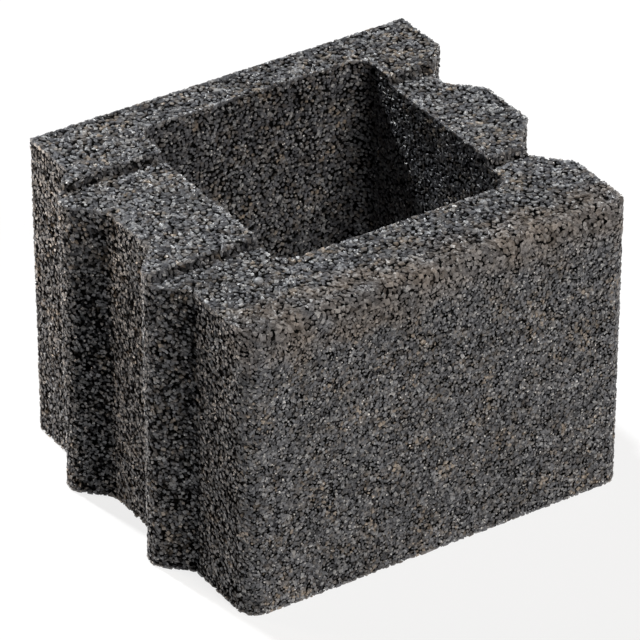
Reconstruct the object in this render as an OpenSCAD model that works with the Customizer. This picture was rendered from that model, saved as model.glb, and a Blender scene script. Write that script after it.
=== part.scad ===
// Hollow concrete wall block with interlocking ends and a stepped top.
// The block is cast as one piece: a plan outline pressed in a mould, with one core
// open right through, two tongues on one end and two matching grooves on the other.
// Origin at the middle of the bounding box's bottom, front face towards -Y, +Z up.

/* [Block] */
// Length between the two end faces, without the tongues
block_l = 300; // [240:1:420]
// Depth from the front face to the rear face
block_d = 271; // [255:1:340]
// Height of the front wall
front_h = 220; // [120:1:300]

/* [Stepped top] */
// Depth of the low front seat, from the front face
front_seat_d = 90; // [60:1:110]
// Depth of the high rear seat, from the rear face
rear_seat_d = 64; // [40:1:75]
// Rise from the front seat to the cross-wall seat
web_rise = 6; // [3:0.5:15]
// Rise from the cross-wall seat to the rear seat
rear_rise = 6; // [3:0.5:15]

/* [Core] */
// Thickness of the front wall
front_wall = 64; // [50:1:90]
// Thickness of the rear wall
rear_wall = 32; // [25:1:60]
// Thickness of the cross wall at the tongued end
tongue_web = 66; // [50:1:90]
// Thickness of the cross wall at the grooved end
groove_web = 54; // [40:1:70]
// Corner radius of the core
core_r = 14; // [6:1:30]

/* [Tongues and grooves] */
// Height of a tongue above the end face
tongue_h = 20; // [12:1:24]
// Radius of a tongue's nose
tongue_r = 14; // [8:1:18]
// Angle of a tongue's flank to the end face
flank_angle = 45; // [40:1:60]
// Fillet radius at a tongue's root
root_r = 8; // [4:1:14]
// Distance from the rear face to the middle of the rear tongue
rear_tongue = 76; // [60:1:90]
// Distance between the middles of the two tongues
tongue_pitch = 104; // [90:1:115]
// Play of a tongue in its groove, all round
groove_play = 1; // [0.5:0.5:3]

/* [Edges] */
// Radius of the front face's top edge
nose_r = 12; // [4:1:25]
// Radius of the front face's upright edges
front_corner_r = 14; // [4:1:25]
// Radius of the rear face's upright edges
rear_corner_r = 4; // [2:1:20]
// Radius of the seats' long edges
arris_r = 2.5; // [1:0.5:3]

/* [Hidden] */
$fn = 96;
// Overlap of joined and cut shapes
over = 2;
// Depth by which a tongue's curves cross its flanks, so that they meet cleanly
bite = 0.05;
left_x = (tongue_h - block_l) / 2;
right_x = left_x + block_l;
front_y = -block_d / 2;
rear_y = block_d / 2;
web_h = front_h + web_rise;
rear_h = web_h + rear_rise;
tongue_y = [for (i = [0, 1]) rear_y - rear_tongue - i * tongue_pitch];

// Cuts a square corner back to a radius: turn 0 has the solid towards +x and +y
module corner_cut(at, turn, r) {
    translate(at) rotate(turn) difference() {
        translate([-over, -over]) square(r + over);
        translate([r, r]) circle(r);
    }
}

// Outline of one tongue on an end face along x = 0, grown all round for its groove
module tongue(grow) {
    r = tongue_r + grow;
    nose_x = tongue_r - tongue_h;
    flank_x = nose_x - (r - bite) * cos(flank_angle);
    flank_y = (r - bite) * sin(flank_angle);
    foot_y = flank_y - flank_x / tan(flank_angle);
    translate([nose_x, 0]) circle(r);
    polygon([
        [flank_x, -flank_y],
        [0, -foot_y],
        [over, -foot_y],
        [over, foot_y],
        [0, foot_y],
        [flank_x, flank_y]
    ]);
    root_fillet(foot_y, root_r - grow);
    mirror([0, 1]) root_fillet(foot_y, root_r - grow);
}

// Hollow fillet between a tongue's flank and the end face
module root_fillet(foot_y, r) {
    reach = r * tan(flank_angle / 2);
    difference() {
        polygon([
            [over, foot_y - over],
            [over, foot_y + reach],
            [0, foot_y + reach],
            [-r, foot_y + reach],
            [-reach * sin(flank_angle), foot_y - reach * cos(flank_angle)]
        ]);
        translate([-r, foot_y + reach]) circle(r + bite);
    }
}

module tongue_pair(grow) {
    for (y = tongue_y) translate([left_x, y]) tongue(grow);
}

module core_outline() {
    low = [left_x + tongue_web, front_y + front_wall];
    high = [right_x - groove_web, rear_y - rear_wall];
    difference() {
        translate(low) square(high - low);
        corner_cut(low, 0, core_r);
        corner_cut([high.x, low.y], 90, core_r);
        corner_cut(high, 180, core_r);
        corner_cut([low.x, high.y], 270, core_r);
    }
}

// The block seen from above
module plan() {
    difference() {
        union() {
            difference() {
                translate([left_x, front_y]) square([block_l, block_d]);
                corner_cut([left_x, front_y], 0, front_corner_r);
                corner_cut([right_x, front_y], 90, front_corner_r);
                corner_cut([right_x, rear_y], 180, rear_corner_r);
                corner_cut([left_x, rear_y], 270, rear_corner_r);
            }
            tongue_pair(0);
        }
        translate([block_l, 0]) tongue_pair(groove_play);
        core_outline();
    }
}

// The block seen along its length: three seats that step up from front to rear
module side_profile() {
    web_y = front_y + front_seat_d;
    seat_y = rear_y - rear_seat_d;
    difference() {
        polygon([
            [front_y, 0],
            [rear_y, 0],
            [rear_y, rear_h],
            [seat_y, rear_h],
            [seat_y, web_h],
            [web_y, web_h],
            [web_y, front_h],
            [front_y, front_h]
        ]);
        corner_cut([front_y, front_h], 270, nose_r);
        corner_cut([web_y, web_h], 270, arris_r);
        corner_cut([seat_y, rear_h], 270, arris_r);
        corner_cut([rear_y, rear_h], 180, arris_r);
    }
}

module block() {
    color("#45464a") intersection() {
        linear_extrude(rear_h) plan();
        rotate([90, 0, 90]) linear_extrude(block_l + 2 * tongue_h, center = true) side_profile();
    }
}

block();
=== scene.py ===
import math

import bpy
import mathutils
import numpy
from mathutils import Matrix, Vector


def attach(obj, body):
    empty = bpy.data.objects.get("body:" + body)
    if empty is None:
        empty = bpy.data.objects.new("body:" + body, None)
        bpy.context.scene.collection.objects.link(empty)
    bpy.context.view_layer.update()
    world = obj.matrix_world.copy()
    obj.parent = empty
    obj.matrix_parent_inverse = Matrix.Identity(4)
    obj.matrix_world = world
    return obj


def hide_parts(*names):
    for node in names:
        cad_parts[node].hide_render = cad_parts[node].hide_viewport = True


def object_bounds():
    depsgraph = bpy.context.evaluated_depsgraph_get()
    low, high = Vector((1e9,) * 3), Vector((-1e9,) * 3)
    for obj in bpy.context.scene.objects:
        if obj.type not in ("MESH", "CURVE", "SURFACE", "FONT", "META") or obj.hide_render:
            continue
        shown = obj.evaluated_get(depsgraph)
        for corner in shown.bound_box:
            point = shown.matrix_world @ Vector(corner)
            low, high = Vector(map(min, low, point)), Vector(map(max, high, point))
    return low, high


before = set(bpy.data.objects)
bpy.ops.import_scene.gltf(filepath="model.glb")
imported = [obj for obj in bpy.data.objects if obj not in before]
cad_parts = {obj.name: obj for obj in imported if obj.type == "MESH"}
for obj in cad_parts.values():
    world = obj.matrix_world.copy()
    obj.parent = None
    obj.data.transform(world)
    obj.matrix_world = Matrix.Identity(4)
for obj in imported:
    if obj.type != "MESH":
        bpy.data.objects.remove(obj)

cad_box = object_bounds()


# The paste body
# One casting of lean concrete, dyed through and pressed hard in a steel mould. Its dark cement
# paste, painted nearly black as the shade in the gaps, lies a little behind the grains and runs
# through the block from face to face.
mm = 0.001
weld = 0.01 * mm
paste_depth = 1.6 * mm
paste_mottle = 3 * mm
# The sand in the paste is finer than this, and is drawn as coarse as it needs to show.
sand_width = 1.2 * mm
sand_height = 0.6 * mm


def linear(colour):
    parts = [int(colour[i:i + 2], 16) / 255 for i in (1, 3, 5)]
    return [c / 12.92 if c <= 0.04045 else ((c + 0.055) / 1.055) ** 2.4 for c in parts] + [1.0]


def add(tree, kind, inputs=None, **settings):
    node = tree.nodes.new(kind)
    for name, value in settings.items():
        setattr(node, name, value)
    for key, value in (inputs or {}).items():
        if isinstance(value, bpy.types.NodeSocket):
            tree.links.new(value, node.inputs[key])
        else:
            node.inputs[key].default_value = value
    return node


def copy_of_casting(name):
    bpy.ops.object.select_all(action="DESELECT")
    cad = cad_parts["block"]
    cad.select_set(True)
    bpy.context.view_layer.objects.active = cad
    bpy.ops.object.duplicate()
    piece = bpy.context.view_layer.objects.active
    piece.name = name
    piece.data.name = name
    piece.data.materials.clear()
    bpy.ops.object.mode_set(mode="EDIT")
    bpy.ops.mesh.select_all(action="SELECT")
    bpy.ops.mesh.remove_doubles(threshold=weld)
    bpy.ops.object.mode_set(mode="OBJECT")
    return piece


# Every face is drawn in by the same depth, so each corner moves until it lies behind all its faces.
# Neighbours on a curve, whose normals hardly differ, count as one face.
hardly_differs = 0.2
normal_digits = 2
body = copy_of_casting("paste_body")
around = [set() for vertex in body.data.vertices]
for polygon in body.data.polygons:
    for index in polygon.vertices:
        around[index].add(tuple(round(part, normal_digits) for part in polygon.normal))
for vertex in body.data.vertices:
    normals = numpy.array(sorted(around[vertex.index]))
    depths = numpy.full(len(normals), -paste_depth)
    inward = numpy.linalg.lstsq(normals, depths, rcond=hardly_differs)[0]
    vertex.co += mathutils.Vector(inward)
bpy.ops.object.shade_flat()

# Cement paste: fine-grained and matt, dark from its dye and painted nearly black as the shade in the
# gaps between the grains.
paste = bpy.data.materials.new("dyed_paste_with_painted_gap_shade")
paste.use_nodes = True
nodes = paste.node_tree
shader = nodes.nodes["Principled BSDF"]
shader.inputs["Roughness"].default_value = 0.95
shader.inputs["Specular IOR Level"].default_value = 0.0
at = add(nodes, "ShaderNodeTexCoord").outputs["Object"]
mottle = add(nodes, "ShaderNodeTexNoise", {"Vector": at, "Scale": 1 / paste_mottle, "Detail": 4.0})
shade = add(nodes, "ShaderNodeValToRGB", {"Fac": mottle.outputs["Fac"]})
# The near-black ramp is painted shade for the gaps between the grains.
dark, light = shade.color_ramp.elements
dark.position, dark.color = 0.35, linear("#050505")
light.position, light.color = 0.75, linear("#181817")
nodes.links.new(shade.outputs["Color"], shader.inputs["Base Color"])
sand = add(nodes, "ShaderNodeTexNoise", {"Vector": at, "Scale": 1 / sand_width, "Detail": 3.0})
rough = add(nodes, "ShaderNodeBump", {
    "Height": sand.outputs["Fac"], "Strength": 0.6, "Distance": sand_height})
nodes.links.new(rough.outputs["Normal"], shader.inputs["Normal"])
body.data.materials.append(paste)
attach(body, "root")


# The grains of each face
# Crushed dark stone of 1 to 5 mm that the press drives up to the mould's faces. The grains touch,
# coated in paste, and leave small open gaps between them; the finest show on the front face.
def stone(name, seed, cut):
    bpy.ops.object.select_all(action="DESELECT")
    if cut:
        bpy.ops.mesh.primitive_cube_add(size=1.5)
    else:
        bpy.ops.mesh.primitive_ico_sphere_add(subdivisions=1, radius=1.0)
    piece = bpy.context.view_layer.objects.active
    piece.name = name
    bpy.ops.object.mode_set(mode="EDIT")
    bpy.ops.mesh.select_all(action="SELECT")
    bpy.ops.transform.vertex_random(offset=0.3, uniform=0.0, normal=0.0, seed=seed)
    bpy.ops.object.mode_set(mode="OBJECT")
    return piece


mould = copy_of_casting("mould")
bpy.ops.object.shade_flat()
rounded = [stone(f"rounded_{i}", i + 1, False) for i in range(4)]
crushed = [stone(f"crushed_{i}", i + 11, True) for i in range(5)]
mixed = rounded[:2] + crushed


# What stands further out than a level a little behind the mould's face is pressed back to that
# level, give or take a small dent. The depth of every point is kept for the painted shade in the
# grit's colour.
deepest_dent = 0.5 * mm


def press(tree, geometry, behind):
    place = add(tree, "GeometryNodeInputPosition").outputs[0]
    walls = add(tree, "GeometryNodeObjectInfo", {"Object": mould}).outputs["Geometry"]
    nearest = add(tree, "GeometryNodeProximity", {0: walls}, target_element="FACES").outputs
    normal = add(tree, "GeometryNodeInputNormal").outputs[0]
    wall = add(
        tree, "GeometryNodeSampleNearestSurface", {"Mesh": walls}, data_type="FLOAT_VECTOR")
    tree.links.new(normal, [s for s in wall.inputs if s.enabled and s.name == "Value"][0])
    out = [s for s in wall.outputs if s.enabled and s.name == "Value"][0]
    dent = add(
        tree, "FunctionNodeRandomValue", {2: 0.0, 3: deepest_dent, "Seed": 3},
        data_type="FLOAT").outputs[1]
    level = add(tree, "ShaderNodeMath", {0: behind, 1: dent}, operation="ADD").outputs[0]
    level = add(tree, "ShaderNodeMath", {0: level, 1: -1.0}, operation="MULTIPLY").outputs[0]
    inset = add(
        tree, "ShaderNodeVectorMath", {0: out, "Scale": level}, operation="SCALE").outputs[0]
    pressed = add(
        tree, "ShaderNodeVectorMath", {0: nearest["Position"], 1: inset},
        operation="ADD").outputs[0]
    away = add(
        tree, "ShaderNodeVectorMath", {0: place, 1: nearest["Position"]},
        operation="SUBTRACT").outputs[0]
    height = add(
        tree, "ShaderNodeVectorMath", {0: away, 1: out},
        operation="DOT_PRODUCT").outputs["Value"]
    proud = add(
        tree, "FunctionNodeCompare", {0: height, 1: level},
        data_type="FLOAT", operation="GREATER_THAN").outputs[0]
    within = add(
        tree, "GeometryNodeSwitch", {"Switch": proud, "False": place, "True": pressed},
        input_type="VECTOR").outputs[0]
    within = add(
        tree, "ShaderNodeVectorMath", {0: within, 1: cad_box[0]}, operation="MAXIMUM").outputs[0]
    within = add(
        tree, "ShaderNodeVectorMath", {0: within, 1: cad_box[1]}, operation="MINIMUM").outputs[0]
    held = add(
        tree, "GeometryNodeSetPosition", {"Geometry": geometry, "Position": within}).outputs[0]
    return add(
        tree, "GeometryNodeStoreNamedAttribute",
        {"Geometry": held, "Name": "depth", "Value": nearest["Distance"]},
        data_type="FLOAT", domain="POINT").outputs[0]


# Where one face of the casting ends and the next begins, by its place and by the way it faces.
front_end, rear_end = -120 * mm, 130 * mm
lowest_seat = 219.5 * mm
core_left, core_right = -74.5 * mm, 106.5 * mm
core_near, core_far = -72 * mm, 104 * mm
core_corner = -30 * mm
down, up, frontward, sideways = -0.7, 0.4, -0.3, 0.5
leaning, level_seat = 0.05, 0.995


def face_of(polygon):
    x, y, z = polygon.center
    nx, ny, nz = polygon.normal
    if nz < down:
        return "bed"
    if y < front_end and leaning < nz < level_seat:
        return "nose"
    if z > lowest_seat and ny < frontward and y > front_end:
        return "steps"
    if nz > up:
        return "seats"
    if core_left < x < core_right and core_near < y < core_far:
        far_wall = x > core_corner and (ny < -sideways or nx < -sideways)
        return "core_rear" if far_wall else "core_front"
    if y < front_end and ny < -sideways:
        return "front"
    if y > rear_end and ny > sideways:
        return "rear"
    return "tongued_end" if x < 0 else "grooved_end"


# Grains are strewn over one face, at a spacing and with half widths between least and most. Each is
# flattened, sunk by a share of its height, tilted, and pressed to a level of its own.
crowding = 4.0
full_turn = 6.283
narrow, broad = (0.95, 0.75), (1.35, 1.05)


def grains_on(face, stones, material, seed, spacing, least, most, flat, sink, uneven, tilt):
    piece = copy_of_casting("grains_" + face)
    bpy.ops.object.mode_set(mode="EDIT")
    bpy.ops.mesh.select_mode(type="FACE")
    bpy.ops.mesh.select_all(action="DESELECT")
    bpy.ops.object.mode_set(mode="OBJECT")
    for polygon in piece.data.polygons:
        polygon.select = face_of(polygon) != face
    bpy.ops.object.mode_set(mode="EDIT")
    bpy.ops.mesh.delete(type="FACE")
    bpy.ops.object.mode_set(mode="OBJECT")

    tree = bpy.data.node_groups.new("grains_" + face, "GeometryNodeTree")
    tree.is_modifier = True
    for way in ("INPUT", "OUTPUT"):
        tree.interface.new_socket("Geometry", in_out=way, socket_type="NodeSocketGeometry")
    start = add(tree, "NodeGroupInput").outputs[0]
    spread = add(
        tree, "GeometryNodeDistributePointsOnFaces", {"Mesh": start, "Seed": seed},
        distribute_method="POISSON")
    spread.inputs["Distance Min"].default_value = spacing
    spread.inputs["Density Max"].default_value = crowding / spacing ** 2
    half = add(
        tree, "FunctionNodeRandomValue", {2: least, 3: most, "Seed": seed + 1},
        data_type="FLOAT").outputs[1]
    sunk = add(tree, "ShaderNodeMath", {0: half, 1: -sink * flat}, operation="MULTIPLY").outputs[0]
    inward = add(
        tree, "ShaderNodeVectorMath", {0: spread.outputs["Normal"], "Scale": sunk},
        operation="SCALE").outputs[0]
    bedded = add(
        tree, "GeometryNodeSetPosition",
        {"Geometry": spread.outputs["Points"], "Offset": inward}).outputs[0]

    kinds = add(tree, "GeometryNodeJoinGeometry")
    for kind in stones:
        info = add(tree, "GeometryNodeObjectInfo", {"Object": kind, "As Instance": True})
        tree.links.new(info.outputs["Geometry"], kinds.inputs[0])
    spin = add(
        tree, "FunctionNodeRandomValue",
        {0: (-tilt, -tilt, 0.0), 1: (tilt, tilt, full_turn), "Seed": seed + 3},
        data_type="FLOAT_VECTOR").outputs[0]
    turn = add(tree, "FunctionNodeEulerToRotation", {0: spin}).outputs[0]
    facing = add(
        tree, "FunctionNodeRotateRotation", {0: spread.outputs["Rotation"], 1: turn},
        rotation_space="LOCAL").outputs[0]
    wide = add(
        tree, "FunctionNodeRandomValue",
        {0: (*narrow, flat), 1: (*broad, flat), "Seed": seed + 4},
        data_type="FLOAT_VECTOR").outputs[0]
    shape = add(
        tree, "ShaderNodeVectorMath", {0: wide, "Scale": half}, operation="SCALE").outputs[0]
    which = add(
        tree, "FunctionNodeRandomValue", {4: 0, 5: len(stones) - 1, "Seed": seed + 5},
        data_type="INT").outputs[2]
    laid = add(
        tree, "GeometryNodeInstanceOnPoints",
        {"Points": bedded, "Instance": kinds.outputs[0], "Pick Instance": True,
         "Instance Index": which, "Rotation": facing, "Scale": shape}).outputs[0]

    for name, highest, draw in (("tone", 1.0, seed + 6), ("level", uneven, seed + 7)):
        value = add(
            tree, "FunctionNodeRandomValue", {2: 0.0, 3: highest, "Seed": draw},
            data_type="FLOAT").outputs[1]
        laid = add(
            tree, "GeometryNodeStoreNamedAttribute",
            {"Geometry": laid, "Name": name, "Value": value},
            data_type="FLOAT", domain="INSTANCE").outputs[0]
    solid = add(tree, "GeometryNodeRealizeInstances", {0: laid}).outputs[0]
    level = add(
        tree, "GeometryNodeInputNamedAttribute", {"Name": "level"}, data_type="FLOAT").outputs[0]
    held = press(tree, solid, level)
    clean = add(
        tree, "GeometryNodeRemoveAttribute", {"Geometry": held, "Name": "level"}).outputs[0]
    add(tree, "NodeGroupOutput", {0: clean})

    modifier = piece.modifiers.new("grains", "NODES")
    modifier.node_group = tree
    bpy.ops.object.modifier_apply(modifier="grains")
    piece.data.materials.clear()
    piece.data.materials.append(material)
    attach(piece, "root")


# Basalt grit in a film of dyed paste: dull charcoal facets that glint where they are bare, here and
# there a tan grain, with painted glints as bright specks and painted shade on the deeper grain sides.
spottiness = 1.3
grit = bpy.data.materials.new("paste_coated_grit_painted_shade_glints")
grit.use_nodes = True
nodes = grit.node_tree
shader = nodes.nodes["Principled BSDF"]
at = add(nodes, "ShaderNodeTexCoord").outputs["Object"]
tone = add(nodes, "ShaderNodeAttribute", attribute_name="tone").outputs["Fac"]
sand = add(
    nodes, "ShaderNodeTexNoise",
    {"Vector": at, "Scale": 1 / sand_width, "Detail": 3.0}).outputs["Fac"]
spotted = add(nodes, "ShaderNodeMath", {0: sand, 1: 0.5}, operation="SUBTRACT").outputs[0]
spotted = add(
    nodes, "ShaderNodeMath", {0: spotted, 1: spottiness, 2: tone},
    operation="MULTIPLY_ADD", use_clamp=True).outputs[0]
shade = add(nodes, "ShaderNodeValToRGB", {"Fac": spotted})
dark, light = shade.color_ramp.elements
dark.color = linear("#343539")
light.color = linear("#a2a3a4")
for position, colour in ((0.35, "#56575c"), (0.8, "#6d6f74")):
    shade.color_ramp.elements.new(position).color = linear(colour)

# Brown and tan grains lie in patches.
patch_width = 20 * mm
patchiness = 1.6
pick = add(nodes, "ShaderNodeTexWhiteNoise", {"W": tone}, noise_dimensions="1D").outputs["Value"]
patch = add(
    nodes, "ShaderNodeTexNoise",
    {"Vector": at, "Scale": 1 / patch_width, "Detail": 3.0}).outputs["Fac"]
share = add(
    nodes, "ShaderNodeMath", {0: patch, 1: patchiness, 2: pick},
    operation="MULTIPLY_ADD").outputs[0]
coloured = shade.outputs["Color"]
for least, most, cover, colour in ((1.3, 1.75, 0.6, "#6a6157"), (1.78, 1.9, 0.8, "#a39585")):
    amount = add(
        nodes, "ShaderNodeMapRange",
        {"Value": share, "From Min": least, "From Max": most, "To Min": 0.0, "To Max": cover})
    coloured = add(
        nodes, "ShaderNodeMix", {0: amount.outputs[0], 6: coloured, 7: linear(colour)},
        data_type="RGBA").outputs[2]

# Painted glints: bright specks of about a millimetre, painted into the colour.
glint_speck_width = 1.3 * mm
glint_speck_rarity = 0.955
glint_speck_reach = 0.42
glint_cells = add(nodes, "ShaderNodeTexVoronoi", {"Vector": at, "Scale": 1 / glint_speck_width}).outputs
chosen = add(nodes, "ShaderNodeSeparateColor", {0: glint_cells["Color"]}).outputs[0]
chosen = add(
    nodes, "ShaderNodeMath", {0: chosen, 1: glint_speck_rarity}, operation="GREATER_THAN").outputs[0]
middle = add(
    nodes, "ShaderNodeMath", {0: glint_cells["Distance"], 1: glint_speck_reach},
    operation="LESS_THAN").outputs[0]
painted_glint = add(nodes, "ShaderNodeMath", {0: chosen, 1: middle}, operation="MULTIPLY").outputs[0]
with_painted_glints = add(
    nodes, "ShaderNodeMix", {0: painted_glint, 6: coloured, 7: linear("#e4e2de")},
    data_type="RGBA").outputs[2]

# The rounded front edge is ironed by the press lip, and its grains lie under a brown skin of paste
# that thins out with the distance from a line inside the edge.
skin_line = (0.0, -125 * mm, 210 * mm)
across_line = (0.0, 1.0, 1.0)
skin_full, skin_gone = 12 * mm, 42 * mm
skin_raggedness = 2.4
about = add(
    nodes, "ShaderNodeVectorMath", {0: at, 1: across_line}, operation="MULTIPLY").outputs[0]
reach = add(
    nodes, "ShaderNodeVectorMath", {0: about, 1: skin_line},
    operation="DISTANCE").outputs["Value"]
near = add(
    nodes, "ShaderNodeMapRange",
    {"Value": reach, "From Min": skin_full, "From Max": skin_gone,
     "To Min": 0.65, "To Max": -0.5}).outputs[0]
skin = add(nodes, "ShaderNodeMath", {0: patch, 1: 0.5}, operation="SUBTRACT").outputs[0]
skin = add(
    nodes, "ShaderNodeMath", {0: skin, 1: skin_raggedness, 2: near},
    operation="MULTIPLY_ADD", use_clamp=True).outputs[0]
film = add(nodes, "ShaderNodeValToRGB", {"Fac": spotted})
dark, light = film.color_ramp.elements
dark.color = linear("#564e48")
light.color = linear("#887e75")
skinned = add(
    nodes, "ShaderNodeMix", {0: skin, 6: with_painted_glints, 7: film.outputs["Color"]},
    data_type="RGBA").outputs[2]

# The mould fills in layers, so the face is lighter and darker in level bands.
band_width = 45 * mm
flattened = (1.0, 1.0, 2.2)
layers = add(
    nodes, "ShaderNodeVectorMath", {0: at, 1: flattened}, operation="MULTIPLY").outputs[0]
cloud = add(
    nodes, "ShaderNodeTexNoise",
    {"Vector": layers, "Scale": 1 / band_width, "Detail": 3.0}).outputs["Fac"]
cloud = add(
    nodes, "ShaderNodeMapRange",
    {"Value": cloud, "From Min": 0.3, "From Max": 0.7, "To Min": 0.7, "To Max": 1.2}).outputs[0]

# Painted shade and paste on the grains' sides: the deeper they lie, the darker and duller they are.
shallow_to, dull_from, darkest_from = 0.4 * mm, 1.4 * mm, 1.8 * mm
depth = add(nodes, "ShaderNodeAttribute", attribute_name="depth").outputs["Fac"]
painted_shade_and_bands = add(
    nodes, "ShaderNodeMapRange",
    {"Value": depth, "From Min": shallow_to, "From Max": darkest_from,
     "To Min": 1.15, "To Max": 0.08}).outputs[0]
painted_shade_and_bands = add(nodes, "ShaderNodeMath", {0: painted_shade_and_bands, 1: cloud}, operation="MULTIPLY").outputs[0]
layered = add(nodes, "ShaderNodeHueSaturation", {"Value": painted_shade_and_bands, "Color": skinned}).outputs[0]
nodes.links.new(layered, shader.inputs["Base Color"])
dull = add(
    nodes, "ShaderNodeMapRange",
    {"Value": sand, "From Min": 0.3, "From Max": 0.7, "To Min": 0.25, "To Max": 0.65}).outputs[0]
nodes.links.new(dull, shader.inputs["Roughness"])
gloss = add(
    nodes, "ShaderNodeMapRange",
    {"Value": depth, "From Min": shallow_to, "From Max": dull_from,
     "To Min": 1.0, "To Max": 0.0}).outputs[0]
nodes.links.new(gloss, shader.inputs["Specular IOR Level"])
rough = add(nodes, "ShaderNodeBump", {"Height": sand, "Strength": 0.7, "Distance": sand_height})
nodes.links.new(rough.outputs["Normal"], shader.inputs["Normal"])

# Grains that lie deeper get more painted shade, so the steps, laid deepest, come out darkest.
grains_on("seats", mixed, grit, seed=10, spacing=2.4 * mm, least=1.4 * mm, most=2.6 * mm,
          flat=0.8, sink=0.85, uneven=0.9 * mm, tilt=0.9)
grains_on("steps", mixed, grit, seed=15, spacing=1.8 * mm, least=1.3 * mm, most=2.0 * mm,
          flat=0.8, sink=0.9, uneven=1.8 * mm, tilt=0.9)
grains_on("nose", mixed, grit, seed=90, spacing=2.5 * mm, least=1.5 * mm, most=2.5 * mm,
          flat=0.75, sink=0.7, uneven=1.0 * mm, tilt=0.7)
grains_on("front", crushed, grit, seed=20, spacing=1.6 * mm, least=0.7 * mm, most=1.7 * mm,
          flat=0.8, sink=0.8, uneven=1.1 * mm, tilt=0.8)
for face, seed in (("tongued_end", 30), ("grooved_end", 40)):
    grains_on(face, crushed, grit, seed=seed, spacing=1.9 * mm, least=1.1 * mm, most=2.0 * mm,
              flat=0.9, sink=1.0, uneven=1.4 * mm, tilt=1.5)
grains_on("rear", crushed, grit, seed=50, spacing=1.9 * mm, least=1.0 * mm, most=1.7 * mm,
          flat=0.8, sink=0.8, uneven=0.9 * mm, tilt=0.8)
for face, seed in (("core_rear", 60), ("core_front", 70)):
    grains_on(face, crushed, grit, seed=seed, spacing=2.2 * mm, least=1.1 * mm, most=1.9 * mm,
              flat=0.9, sink=0.75, uneven=0.6 * mm, tilt=1.5)
grains_on("bed", crushed, grit, seed=80, spacing=3.2 * mm, least=1.5 * mm, most=2.6 * mm,
          flat=0.7, sink=0.4, uneven=0.6 * mm, tilt=0.3)

for item in rounded + crushed + [mould]:
    bpy.data.objects.remove(item)
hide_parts("block")


# The stray pebble
# One rounded pebble, larger and paler than the grit, that came in with the aggregate. The press drove
# it into the front seat, where it stands a little proud.
pebble_place = (-97.9 * mm, -83.9 * mm, 220.3 * mm)
pebble_half = (3.2 * mm, 3.0 * mm, 2.3 * mm)
pebble_dents = 0.12 * mm
pebble_mottle = 1.5 * mm
bpy.ops.object.select_all(action="DESELECT")
bpy.ops.mesh.primitive_ico_sphere_add(
    subdivisions=3, radius=1.0, location=pebble_place, scale=pebble_half)
pebble = bpy.context.view_layer.objects.active
pebble.name = "stray_pebble"
pebble.data.name = "stray_pebble"
bpy.ops.object.transform_apply(location=True, rotation=True, scale=True)
bpy.ops.object.mode_set(mode="EDIT")
bpy.ops.mesh.select_all(action="SELECT")
bpy.ops.transform.vertex_random(offset=pebble_dents, uniform=0.0, normal=0.0, seed=5)
bpy.ops.object.mode_set(mode="OBJECT")
bpy.ops.object.shade_smooth()

# Quartzite pebble, rolled smooth: pale grey with a dull shine.
quartzite = bpy.data.materials.new("rolled_quartzite")
quartzite.use_nodes = True
nodes = quartzite.node_tree
shader = nodes.nodes["Principled BSDF"]
shader.inputs["Roughness"].default_value = 0.45
at = add(nodes, "ShaderNodeTexCoord").outputs["Object"]
mottle = add(nodes, "ShaderNodeTexNoise", {"Vector": at, "Scale": 1 / pebble_mottle, "Detail": 3.0})
shade = add(nodes, "ShaderNodeValToRGB", {"Fac": mottle.outputs["Fac"]})
dark, light = shade.color_ramp.elements
dark.position, dark.color = 0.3, linear("#7c7e82")
light.position, light.color = 0.7, linear("#a8aaad")
nodes.links.new(shade.outputs["Color"], shader.inputs["Base Color"])
pebble.data.materials.append(quartzite)
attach(pebble, "root")


# The studio
# A white floor without an edge. A hard key lamp stands high behind the block and a soft warm fill in
# front of it, and low lamps brighten the front, the grooved end and the rear of the tongued end. A
# long lens looks down on the front and the tongued end.
floor_gap = 0.5 * mm
bpy.ops.object.select_all(action="DESELECT")
bpy.ops.mesh.primitive_plane_add(size=8.0, location=(0.0, 0.0, -floor_gap))
floor = bpy.context.view_layer.objects.active
floor.name = "floor"
white = bpy.data.materials.new("white_studio_floor")
white.use_nodes = True
nodes = white.node_tree
nodes.nodes.clear()
ray = add(nodes, "ShaderNodeLightPath").outputs
seen = ray["Is Camera Ray"]
for other in ("Is Glossy Ray", "Is Transmission Ray"):
    seen = add(nodes, "ShaderNodeMath", {0: seen, 1: ray[other]}, operation="MAXIMUM").outputs[0]
paper = add(nodes, "ShaderNodeBsdfDiffuse", {"Color": linear("#ffffff")}).outputs[0]
glow = add(nodes, "ShaderNodeEmission", {"Color": linear("#ffffff"), "Strength": 1.0}).outputs[0]
bright = add(nodes, "ShaderNodeMixShader", {0: 0.8, 1: paper, 2: glow}).outputs[0]
dull = add(nodes, "ShaderNodeBsdfDiffuse", {"Color": linear("#747474")}).outputs[0]
both = add(nodes, "ShaderNodeMixShader", {0: seen, 1: dull, 2: bright}).outputs[0]
add(nodes, "ShaderNodeOutputMaterial", {0: both})
floor.data.materials.append(white)

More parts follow.
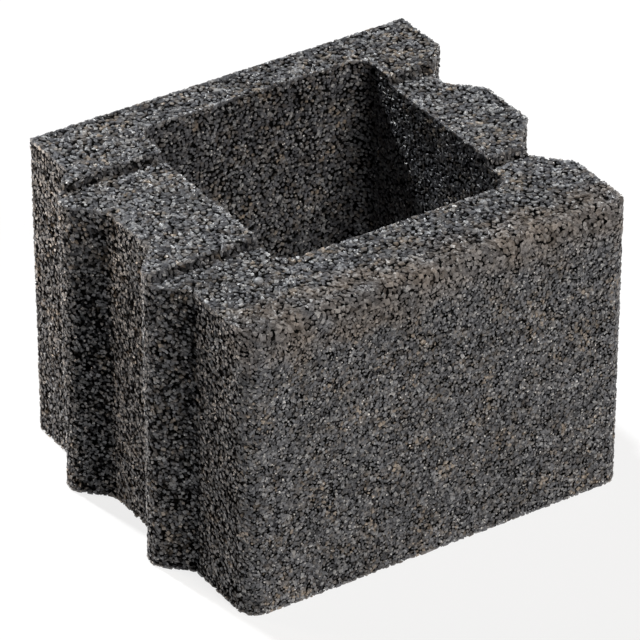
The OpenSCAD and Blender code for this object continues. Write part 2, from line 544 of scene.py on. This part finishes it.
world = bpy.data.worlds.new("studio")
bpy.context.scene.world = world
world.use_nodes = True
nodes = world.node_tree
nodes.nodes.clear()
ray = add(nodes, "ShaderNodeLightPath").outputs
dim, clear = [
    add(nodes, "ShaderNodeBackground", {"Color": linear("#ffffff"), "Strength": strength}).outputs[0]
    for strength in (0.004, 1.0)]
sky = add(nodes, "ShaderNodeMixShader", {0: ray["Is Camera Ray"], 1: dim, 2: clear}).outputs[0]
add(nodes, "ShaderNodeOutputWorld", {0: sky})


def lamp(name, kind, strength, colour):
    data = bpy.data.lights.new(name, kind)
    data.energy = strength
    data.color = colour
    item = bpy.data.objects.new(name, data)
    bpy.context.scene.collection.objects.link(item)
    return item


# Suns, by the way to each lamp and its spread in degrees.
warm = (1.0, 0.95, 0.9)
for name, (x, y, z), strength, spread, colour in (
        ("key", (-0.12, 0.647, 0.7525), 3.7, 3.0, (0.97, 0.99, 1.0)),
        ("fill", (0.12, -0.8, 0.59), 2.1, 16.0, warm)):
    sun = lamp(name, "SUN", strength, colour)
    sun.data.angle = math.radians(spread)
    sun.rotation_euler = (math.atan2(math.hypot(x, y), z), 0.0, math.atan2(x, -y))

# Low lamps, by place, turn about the upright in degrees, width and height.
for name, place, turn, width, height, strength, colour in (
        ("front_low", (0.2, -1.0, 0.09), 11.0, 0.8, 0.16, 1.05, warm),
        ("right_low", (1.0, -0.15, 0.09), 81.5, 0.8, 0.16, 2.2, warm),
        ("left_low", (-0.45, 0.37, 0.12), -140.0, 0.14, 0.14, 1.55, (1.0, 0.85, 0.72))):
    box = lamp(name, "AREA", strength, colour)
    box.data.shape = "RECTANGLE"
    box.data.size = width
    box.data.size_y = height
    box.location = place
    box.rotation_euler = (math.radians(90.0), 0.0, math.radians(turn))

lens = bpy.data.cameras.new("camera")
lens.lens = 281.25
lens.sensor_width = 36.0
lens.clip_end = 20.0
camera = bpy.data.objects.new("camera", lens)
bpy.context.scene.collection.objects.link(camera)
camera.location = (-1.54195, -2.36302, 1.92179)
camera.rotation_euler = (math.radians(57.3124), 0.0, math.radians(-33.1896))
bpy.context.scene.camera = camera
bpy.context.scene.view_settings.view_transform = "Standard"
